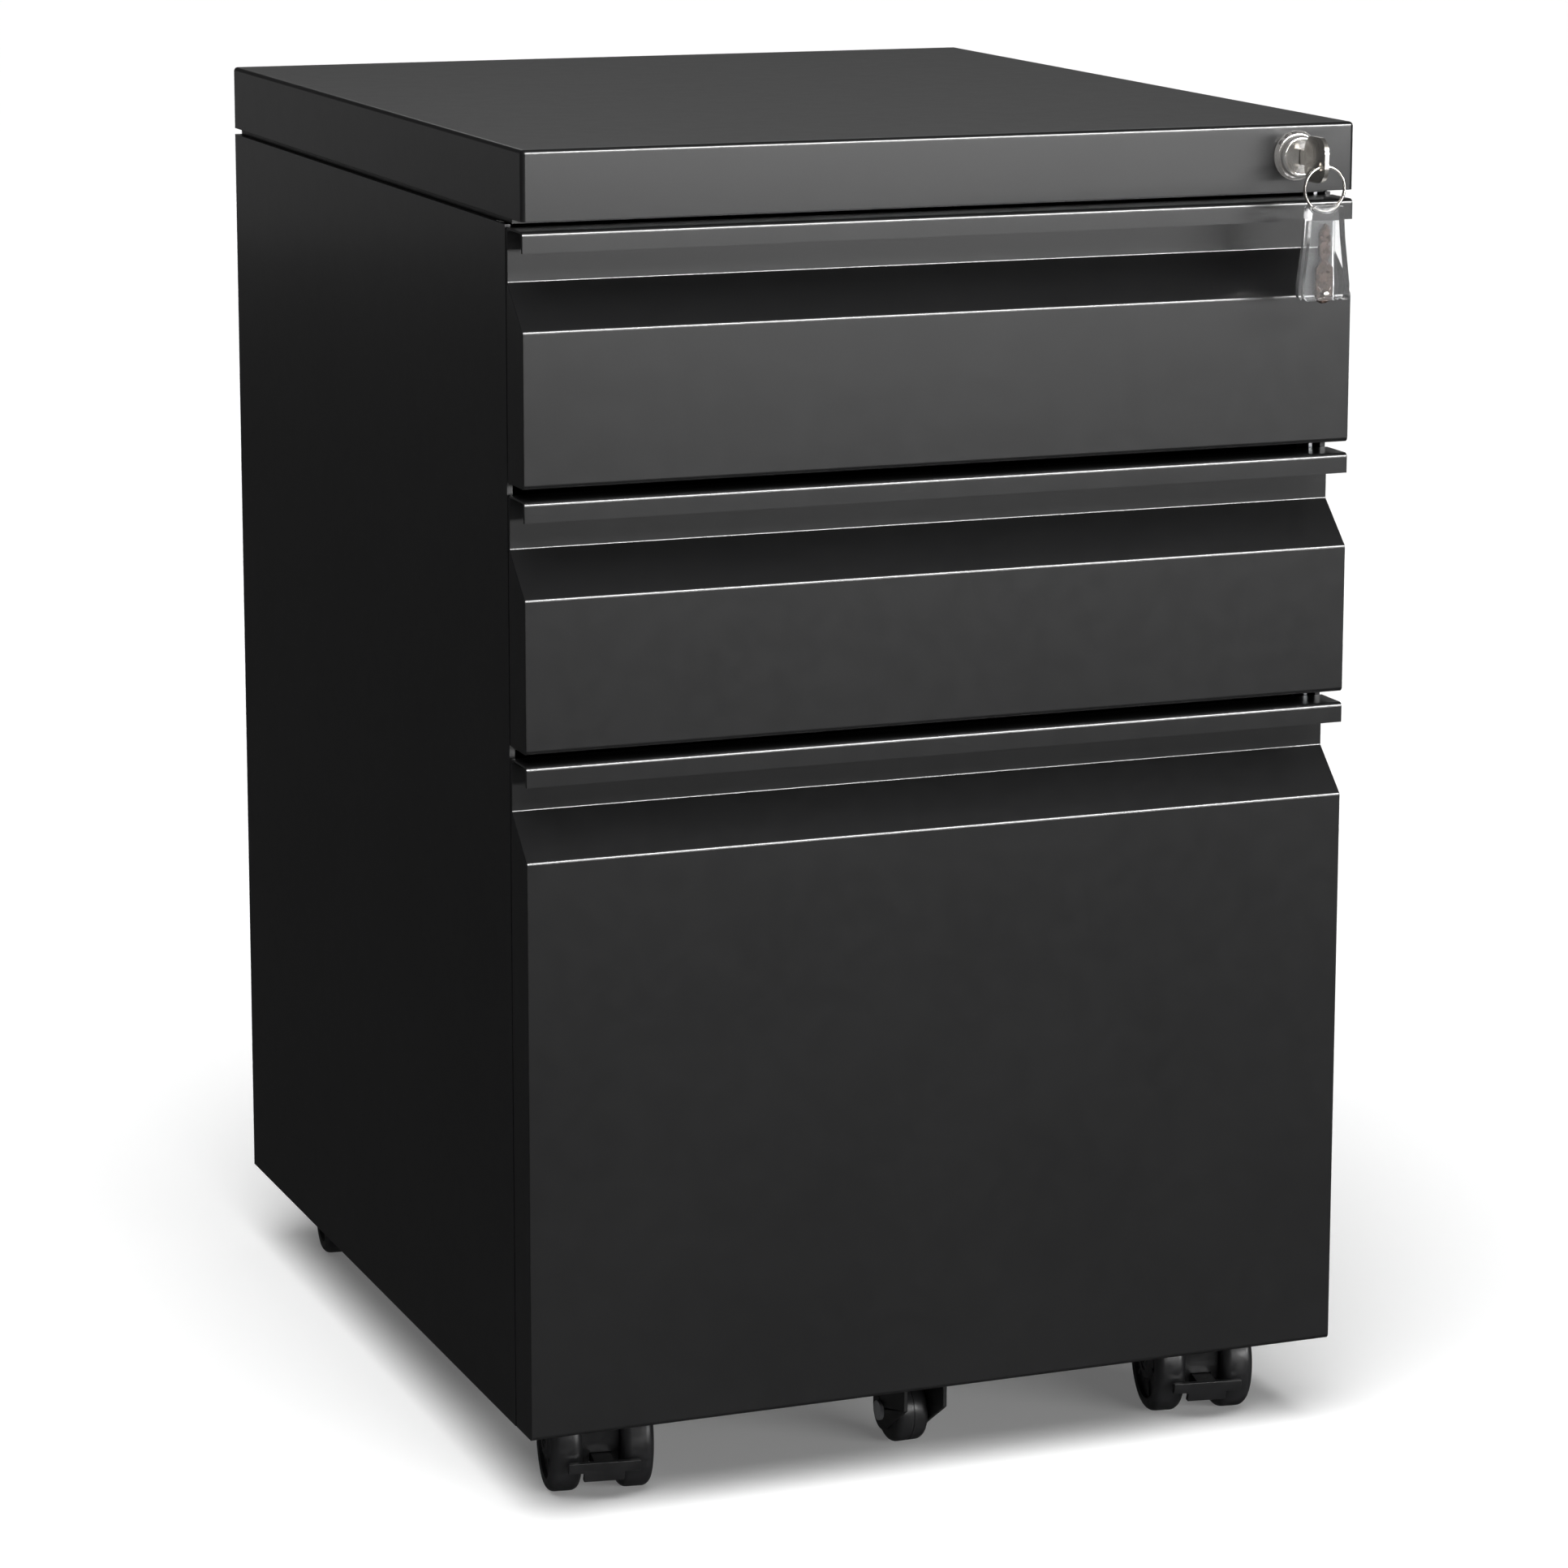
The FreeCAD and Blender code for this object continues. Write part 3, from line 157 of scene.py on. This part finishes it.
def moulded(name, dark, light, smoothest, roughest, grain_mm):
    """Moulded nylon: a fine spark-eroded grain, slow sink marks and scuffs."""
    finish = Finish(name, IOR=1.53)
    finish.colours(finish.noise(12, 4), [(0.35, dark), (0.7, light)])
    finish.roughness(finish.noise(4, 5), smoothest, roughest)
    finish.bump(finish.noise(9, 1), 0.05, 0.6)
    finish.bump(finish.noise(grain_mm, 2), 0.012, 0.7)
    return finish.material


def clear_moulding(name):
    """Clear styrene with flow ripples and faint handling marks."""
    finish = Finish(name, Transmission_Weight=0.97, IOR=1.45, Coat_Weight=0.3, Coat_Roughness=0.05)
    finish.colours(finish.noise(8, 2), [(0.3, (0.93, 0.94, 0.95)), (0.7, (0.97, 0.97, 0.97))])
    finish.roughness(finish.noise(2, 4), 0.01, 0.04)
    finish.bump(finish.noise(6, 1, finish.stretched(1, 1, 0.3)), 0.06, 0.5)
    return finish.material


def engraving(name):
    """Dark paint lying in a shallow mark."""
    finish = Finish(name, IOR=1.45)
    finish.colours(finish.noise(0.4, 2), [(0.3, (0.006, 0.005, 0.005)), (0.7, (0.03, 0.024, 0.02))])
    finish.roughness(finish.noise(0.3, 2), 0.45, 0.7)
    finish.bump(finish.noise(0.25, 2), 0.01)
    return finish.material


FRONT_COAT = powder_coat("powder_coat_front", (0.0068, 0.0068, 0.0071), (0.0084, 0.0084, 0.0087), 0.295, 0.31)
BODY_COAT = powder_coat("powder_coat_body", (0.0066, 0.0066, 0.0069), (0.008, 0.008, 0.0083), 0.305, 0.32)
INSIDE_COAT = powder_coat("powder_coat_inside", (0.008, 0.008, 0.0083), (0.011, 0.011, 0.0114), 0.4, 0.46)
ZINC = plated_steel("zinc_steel", (0.36, 0.37, 0.39), (0.5, 0.51, 0.53), 0.28, 0.45)
CHROME = polished("lock_chrome", 0.85, (0.86, 0.83, 0.79), (0.92, 0.9, 0.87), 0.12, 0.16)
NICKEL = polished("key_nickel", 0.95, (0.76, 0.72, 0.67), (0.86, 0.83, 0.78), 0.18, 0.24)
BRONZED = polished("spare_key_steel", 0.95, (0.03, 0.02, 0.016), (0.055, 0.038, 0.031), 0.24, 0.34)
NYLON = moulded("black_nylon", (0.009, 0.009, 0.0095), (0.014, 0.014, 0.015), 0.3, 0.42, 0.35)
TREAD = moulded("tread", (0.011, 0.011, 0.012), (0.018, 0.018, 0.019), 0.28, 0.42, 0.6)
CLEAR = clear_moulding("clear_plastic")
ENGRAVED = engraving("engraved_mark")

NODE_FINISHES = (
    ("_drawer_front", FRONT_COAT),
    ("_side_panel", BODY_COAT),
    ("back_panel", BODY_COAT),
    ("top_cover", FRONT_COAT),
    ("top_frame", INSIDE_COAT),
    ("base_panel", INSIDE_COAT),
    ("_drawer_box", INSIDE_COAT),
    ("file_rails", INSIDE_COAT),
    ("anti_tilt_bracket", INSIDE_COAT),
    ("caster_hood", NYLON),
    ("brake_lever", NYLON),
    ("caster_wheels", TREAD),
    ("anti_tilt_wheel", TREAD),
    ("lock_housing", CHROME),
    ("lock_plug", CHROME),
    ("spare_key_handle", CLEAR),
    ("spare_key_pin", NICKEL),
    ("spare_key_blade", BRONZED),
    ("key", NICKEL),
)


def finish_of(node):
    """The finish of the first pattern that a node's name holds; anything else is plated steel."""
    return next((material for part, material in NODE_FINISHES if part in node), ZINC)


def dress(item, material):
    """Give an object one material."""
    item.data.materials.clear()
    item.data.materials.append(material)


# ---------------------------------------------------------------- CAD nodes that are kept

# How far the raw edges of a node are broken, in millimetres, by part of its name.
EDGE_BREAKS = (
    ("_drawer_front", 0.22), ("top_cover", 0.22), ("_side_panel", 0.22), ("back_panel", 0.2),
    ("_drawer_box", 0.2), ("top_frame", 0.2), ("base_panel", 0.2), ("file_rails", 0.4),
    ("anti_tilt_bracket", 0.45), ("anti_tilt_axle", 0.5), ("caster_hood", 0.9), ("brake_lever", 0.8),
    ("caster_stems", 0.4), ("caster_nut_plates", 0.4), ("lock_housing", 0.25), ("lock_plug", 0.3),
    ("lock_nut", 0.4), ("lock_cam", 0.3), ("lock_bar", 0.25), ("runner", 0.25), ("catch", 0.25),
    ("spare_key_handle", 0.45), ("key", 0.35),
)


def soften(item, width_mm):
    """Break an object's sharp edges, with shading that stays flat on its flats."""
    weld = item.modifiers.new("weld", "WELD")
    weld.merge_threshold = 0.002 * MM
    bevel = item.modifiers.new("edge_break", "BEVEL")
    bevel.width = width_mm * MM
    bevel.segments = 2
    bevel.limit_method = "ANGLE"
    bevel.angle_limit = math.radians(50)
    bevel.use_clamp_overlap = True
    normals = item.modifiers.new("flat_faces", "WEIGHTED_NORMAL")
    normals.keep_sharp = False
    normals.weight = 80


def dress_cad_nodes():
    for name, item in NODES.items():
        dress(item, finish_of(name))
        width = next((width for part, width in EDGE_BREAKS if part in name), 0.2)
        soften(item, width)


# ---------------------------------------------------------------- mesh helpers

def new_object(name, mesh, material, body):
    item = bpy.data.objects.new(name, mesh)
    bpy.context.collection.objects.link(item)
    dress(item, material)
    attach(item, body)
    return item


def mesh_from(name, build, transform=Matrix.Identity(4), sharp_degrees=35):
    """A mesh that build() fills, moved by a matrix, smooth except at sharp edges."""
    work = bmesh.new()
    build(work)
    bmesh.ops.remove_doubles(work, verts=work.verts, dist=1e-7)
    bmesh.ops.recalc_face_normals(work, faces=work.faces)
    work.transform(transform)
    for face in work.faces:
        face.smooth = True
    for edge in work.edges:
        edge.smooth = len(edge.link_faces) == 2 and edge.calc_face_angle() < math.radians(sharp_degrees)
    mesh = bpy.data.meshes.new(name)
    work.to_mesh(mesh)
    work.free()
    return mesh


def lathe(work, profile, segments):
    """Turn a closed profile of (across, radius) points, in millimetres, about the X axis."""
    rings = []
    for across, radius in profile:
        ring = []
        for i in range(segments):
            angle = 2 * math.pi * i / segments
            y, z = radius * MM * math.cos(angle), radius * MM * math.sin(angle)
            ring.append(work.verts.new((across * MM, y, z)))
        rings.append(ring)
    for ring, following in zip(rings, rings[1:] + rings[:1]):
        for i in range(segments):
            j = (i + 1) % segments
            work.faces.new((ring[i], ring[j], following[j], following[i]))


def arc(centre, radius, start, end, steps):
    """Points on a quarter round or any other arc, in degrees."""
    points = []
    for i in range(steps + 1):
        angle = math.radians(start + (end - start) * i / steps)
        points.append((centre[0] + radius * math.cos(angle), centre[1] + radius * math.sin(angle)))
    return points


def plate(work, outline, low, high, to_space):
    """A flat plate: an outline in millimetres extruded from low to high, laid out by to_space."""
    near = [work.verts.new(to_space(u, v, low)) for u, v in outline]
    far = [work.verts.new(to_space(u, v, high)) for u, v in outline]
    work.faces.new(near)
    work.faces.new(list(reversed(far)))
    count = len(outline)
    for i in range(count):
        j = (i + 1) % count
        work.faces.new((near[i], near[j], far[j], far[i]))


def facing_front(u, v, w):
    """Lays a plate out square to the Y axis."""
    return Vector((u * MM, w * MM, v * MM))


def bevelled(item, width_mm, segments=3):
    bevel = item.modifiers.new("edge_break", "BEVEL")
    bevel.width = width_mm * MM
    bevel.segments = segments
    bevel.limit_method = "ANGLE"
    bevel.angle_limit = math.radians(35)
    normals = item.modifiers.new("flat_faces", "WEIGHTED_NORMAL")
    normals.keep_sharp = False
    return item


def along(joint):
    """A matrix whose X axis lies on a joint's axis and whose Z axis stays upright."""
    across = Vector(joint["axis"]).normalized()
    up = Vector((0, 0, 1))
    ahead = up.cross(across)
    matrix = Matrix((across, ahead, up)).transposed().to_4x4()
    matrix.translation = Vector(joint["pos_m"])
    return matrix


# ---------------------------------------------------------------- casters and the anti-tilt wheel

# A caster wheel in millimetres: middle of the hood to its inner face, width, radius, shoulder, bore radius.
WHEEL_INSIDE = 8.7
WHEEL_WIDE = 14.5
WHEEL_R = 25.0
WHEEL_SHOULDER = 4.0
AXLE_BORE = 3.1
RIB_COUNT = 6


def wheel_profile():
    """One caster wheel: rounded shoulders, a dished face and a stepped hub cap."""
    inside, outside = WHEEL_INSIDE, WHEEL_INSIDE + WHEEL_WIDE
    shoulder = WHEEL_SHOULDER
    profile = [(inside, AXLE_BORE), (inside + 0.6, 6.5), (inside, 7.0), (inside, WHEEL_R - shoulder)]
    profile += arc((inside + shoulder, WHEEL_R - shoulder), shoulder, 180, 90, 8)[1:]
    profile += arc((outside - shoulder, WHEEL_R - shoulder), shoulder, 90, 0, 8)
    profile += [(outside, 20.4), (outside - 0.35, 19.9), (outside - 0.5, 19.2), (outside - 2.2, 18.6),
                (outside - 2.6, 17.6), (outside - 2.6, 11.2), (outside - 2.3, 10.4), (outside - 0.9, 9.8),
                (outside - 0.45, 9.2), (outside - 0.4, 6.4), (outside - 0.9, 6.0), (outside - 0.9, 4.2),
                (outside - 0.3, 3.8), (outside - 0.3, AXLE_BORE)]
    return profile


def wheel_tyre(work):
    lathe(work, wheel_profile(), 96)


def wheel_ribs(work):
    """Low radial ribs in the dished face."""
    outside = WHEEL_INSIDE + WHEEL_WIDE
    for i in range(RIB_COUNT):
        turn = Matrix.Rotation(math.radians(360 / RIB_COUNT * i + 12), 3, "X")
        outline = [(-0.8, 9.4), (0.8, 9.4), (0.8, 18.9), (-0.8, 18.9)]
        plate(work, outline, outside - 3.4, outside - 1.7,
              lambda u, v, w, turn=turn: turn @ Vector((w * MM, u * MM, v * MM)))


def build_caster_wheels():
    """A ribbed tyre on either side of each caster's hood."""
    flip = Matrix.Rotation(math.pi, 4, "Z")
    for corner in CORNERS:
        place = along(JOINTS[f"wheel_spin_{corner}"])
        body = f"wheels_{corner}"
        made = []
        for side, turn in (("outer", Matrix.Identity(4)), ("inner", flip)):
            tyre = mesh_from(f"tyre_{side}_{corner}", wheel_tyre, place @ turn)
            made.append(new_object(f"caster_tyre_{side}_{corner}", tyre, TREAD, body))
            ribs = mesh_from(f"ribs_{side}_{corner}", wheel_ribs, place @ turn)
            ribs = new_object(f"caster_ribs_{side}_{corner}", ribs, TREAD, body)
            made.append(bevelled(ribs, 0.3, 2))
        for item in made:
            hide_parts(f"caster_wheels_{corner}")


def build_anti_tilt_wheel():
    """A solid roller with rounded shoulders and a moulding groove round its middle."""
    low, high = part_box("anti_tilt_wheel")
    half = (high.x - low.x) / 2 / MM
    radius = (high.z - low.z) / 2 / MM
    rounding = 3.4
    bore = 2.6
    profile = [(-half, bore), (-half, radius - rounding)]
    profile += arc((-half + rounding, radius - rounding), rounding, 180, 90, 7)[1:]
    profile += [(-0.5, radius), (-0.25, radius - 0.35), (0.25, radius - 0.35), (0.5, radius)]
    profile += arc((half - rounding, radius - rounding), rounding, 90, 0, 7)
    profile += [(half, bore)]
    place = along(JOINTS["anti_tilt_spin"])
    mesh = mesh_from("anti_tilt_roller", lambda work: lathe(work, profile, 80), place)
    roller = new_object("anti_tilt_roller_wheel", mesh, TREAD, "anti_tilt_roller")
    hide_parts("anti_tilt_wheel")


# ---------------------------------------------------------------- keys and lock details

def build_key_ring():
    """A split ring: two turns of flattened spring wire lying side by side."""
    low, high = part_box("key_ring")
    centre = (low + high) / 2
    cad_wire_r = 0.75 * MM
    radius = (high.x - low.x) / 2 - cad_wire_r
    turns, steps = 2, 96
    curve = bpy.data.curves.new("split_ring", "CURVE")
    curve.dimensions = "3D"
    curve.bevel_depth = 0.56 * MM
    curve.bevel_resolution = 4
    curve.use_fill_caps = True
    spline = curve.splines.new("POLY")
    spline.points.add(turns * steps - 1)
    for i, point in enumerate(spline.points):
        share = i / (turns * steps - 1)
        angle = math.radians(40) + share * turns * 2 * math.pi
        offset = 0.3 * MM * max(-1.0, min(1.0, (share - 0.5) * 14))
        across, rise = radius * math.cos(angle), radius * math.sin(angle)
        point.co = (centre.x + across, centre.y + offset, centre.z + rise, 1)
    source = bpy.data.objects.new("split_ring_path", curve)
    mesh = bpy.data.meshes.new_from_object(source)
    bpy.data.objects.remove(source)
    for polygon in mesh.polygons:
        polygon.use_smooth = True
    ring = new_object("split_key_ring", mesh, NICKEL, "ring")
    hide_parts("key_ring")


def build_spare_key():
    """The spare key: a broad root, a waist and a blade with cuts along one edge."""
    pivot = Vector(JOINTS["spare_key_fold"]["pos_m"])
    low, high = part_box("spare_key_blade")
    reach = (high.z - pivot.z) / MM
    half = (high.y - low.y) / 2 / MM
    root_r = 4.2
    root = arc((0, 0), root_r, 180, 360, 14)
    cut_side = [(root_r, 11.6), (2.6, 13.2), (1.4, 14.5), (2.0, 16.0), (2.75, 17.4), (2.75, 18.8),
                (1.8, 19.6), (2.6, 20.8), (1.6, 21.9), (2.7, 23.2), (2.7, 25.4), (1.9, 26.4), (2.3, 27.6)]
    tip = [(1.5, reach - 1.4), (0.2, reach), (-1.5, reach - 2.2), (-2.75, reach - 4.6)]
    plain_side = [(-2.75, 17.4), (-2.0, 16.0), (-1.4, 14.5), (-2.6, 13.2), (-root_r, 11.6)]
    outline = root + cut_side + tip + plain_side

    def build(work):
        plate(work, outline, -half, half, facing_front)

    mesh = mesh_from("spare_blade", build, Matrix.Translation(pivot))
    blade = bevelled(new_object("spare_key_cut_blade", mesh, BRONZED, "spare_key"), 0.3, 2)
    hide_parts("spare_key_blade")


def build_lock_marks():
    """Three short position marks let into the slope of the lock's bezel."""
    centre = Vector(JOINTS["lock_turn"]["pos_m"])
    bezel_thick = 2.2
    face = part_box("top_cover")[0].y / MM - bezel_thick
    outline = [(-1.0, 9.7), (1.0, 9.7), (1.0, 10.7), (-1.0, 10.7)]

    def build(work):
        plate(work, outline, face + 0.35, face + 1.6, facing_front)

    for i, degrees in enumerate((10, 32, 54)):
        turn = Matrix.Rotation(-math.radians(degrees), 4, "Y")
        spin = Matrix.Translation((centre.x, 0, centre.z)) @ turn
        mesh = mesh_from(f"lock_mark_{i}", build, spin)
        mark = new_object(f"lock_position_mark_{i}", mesh, ENGRAVED, "cabinet")
        bevelled(mark, 0.15, 2)


# ---------------------------------------------------------------- stage, light and camera

def build_floor():
    """A pale plane that reaches past the horizon and stays out of the steel's reflections."""
    work = bmesh.new()
    reach = 60
    outline = ((-reach, -reach), (reach, -reach), (reach, reach), (-reach, reach))
    work.faces.new([work.verts.new((x, y, 0)) for x, y in outline])
    mesh = bpy.data.meshes.new("floor")
    work.to_mesh(mesh)
    work.free()
    floor = bpy.data.objects.new("floor", mesh)
    bpy.context.collection.objects.link(floor)
    finish = Finish("pale_floor", Roughness=0.9, Specular_IOR_Level=0.0, Emission_Strength=0.12)
    finish.surface.inputs["Emission Color"].default_value = (1, 1, 1, 1)
    finish.colours(finish.noise(400, 3), [(0.3, (0.88, 0.88, 0.88)), (0.7, (0.9, 0.9, 0.9))])
    dress(floor, finish.material)
    floor.visible_glossy = False


def build_world():
    """Faint surroundings that brighten ahead on the right, with plain white as the backdrop."""
    world = bpy.data.worlds.new("surroundings")
    bpy.context.scene.world = world
    world.use_nodes = True
    nodes, links = world.node_tree.nodes, world.node_tree.links
    background = nodes["Background"]
    background.inputs["Color"].default_value = (1, 1, 1, 1)
    direction = nodes.new("ShaderNodeTexCoord").outputs["Generated"]

    def lobe(towards, start, end, low, high):
        """Rises smoothly from low to high as the direction turns towards a point."""
        dot = nodes.new("ShaderNodeVectorMath")
        dot.operation = "DOT_PRODUCT"
        dot.inputs[1].default_value = towards
        links.new(direction, dot.inputs[0])
        ranged = nodes.new("ShaderNodeMapRange")
        ranged.interpolation_type = "SMOOTHSTEP"
        for socket, number in (("From Min", start), ("From Max", end), ("To Min", low), ("To Max", high)):
            ranged.inputs[socket].default_value = number
        links.new(dot.outputs["Value"], ranged.inputs["Value"])
        return ranged.outputs["Result"]

    def combine(operation, first, second):
        node = nodes.new("ShaderNodeMath")
        node.operation = operation
        links.new(first, node.inputs[0])
        links.new(second, node.inputs[1])
        return node.outputs["Value"]

    ahead = lobe((0.37, -0.93, 0), -0.3, 0.95, 0.028, 0.07)
    above_floor = lobe((0, 0, 1), -0.3, 0.1, 0.8, 1)
    total = combine("MULTIPLY", ahead, above_floor)
    seen = nodes.new("ShaderNodeLightPath").outputs["Is Camera Ray"]
    links.new(combine("MAXIMUM", total, seen), background.inputs["Strength"])


def area_light(name, place, target, size, radiance, only_reflected=False):
    """A rectangular softbox, unseen by the camera, turned from its place towards a target."""
    light = bpy.data.lights.new(name, "AREA")
    light.shape = "RECTANGLE"
    light.size, light.size_y = size
    light.energy = radiance * math.pi * size[0] * size[1]
    item = bpy.data.objects.new(name, light)
    bpy.context.collection.objects.link(item)
    item.location = place
    item.rotation_mode = "QUATERNION"
    item.rotation_quaternion = (Vector(target) - Vector(place)).to_track_quat("-Z", "Y")
    item.visible_camera = False
    item.visible_diffuse = not only_reflected
    return item


def build_lights():
    """Two strips ahead on the right, for the faces and for the folds, reflectors behind, and floor light."""
    middle = (0.0, -0.2, 0.4)
    area_light("low_strip", (1.45, -3.1, 0.72), middle, (2.3, 0.26), 24)
    area_light("fold_strip", (1.2, -2.6, 1.95), middle, (2.6, 0.2), 150, True)
    area_light("lid_reflector", (1.2, 3.4, 2.0), middle, (1.8, 1.1), 0.66, True)
    area_light("side_reflector", (-1.3, 3.0, 0.42), middle, (1.8, 0.5), 0.1, True)
    overhead = area_light("overhead_softbox", (0, 0, 3.0), (0, 0, 0), (4.4, 4.4), 0.3)
    overhead.visible_glossy = False
    build_sun()


def build_sun():
    """Wide, soft light from above the front, for the floor."""
    sun = bpy.data.lights.new("soft_sun", "SUN")
    sun.energy = 3.35
    sun.angle = math.radians(50)
    item = bpy.data.objects.new("soft_sun", sun)
    bpy.context.collection.objects.link(item)
    item.rotation_mode = "QUATERNION"
    item.rotation_quaternion = Vector((0.22, 0.42, -1)).to_track_quat("-Z", "Y")
    item.visible_glossy = False


def build_camera():
    """A long lens at eye height ahead of the left corner; yaw, pitch and roll in radians."""
    yaw, pitch, roll = 0.3832, 0.1883, 0.0037
    forward = Vector((math.sin(yaw) * math.cos(pitch), math.cos(yaw) * math.cos(pitch), -math.sin(pitch)))
    level_right = Vector((math.cos(yaw), -math.sin(yaw), 0))
    level_up = level_right.cross(forward)
    right = level_right * math.cos(roll) + level_up * math.sin(roll)
    up = level_up * math.cos(roll) - level_right * math.sin(roll)
    camera = bpy.data.cameras.new("camera")
    camera.lens = 119.1
    camera.sensor_width = 36
    camera.shift_x = -0.0447
    camera.shift_y = -0.1
    item = bpy.data.objects.new("camera", camera)
    bpy.context.collection.objects.link(item)
    matrix = Matrix((right, up, -forward)).transposed().to_4x4()
    matrix.translation = Vector((-0.86537, -2.24812, 0.80811))
    item.matrix_world = matrix
    bpy.context.scene.camera = item
    bpy.context.scene.view_settings.view_transform = "Standard"


dress_cad_nodes()
build_caster_wheels()
build_anti_tilt_wheel()
build_key_ring()
build_spare_key()
build_lock_marks()
build_floor()
build_world()
build_lights()
build_camera()
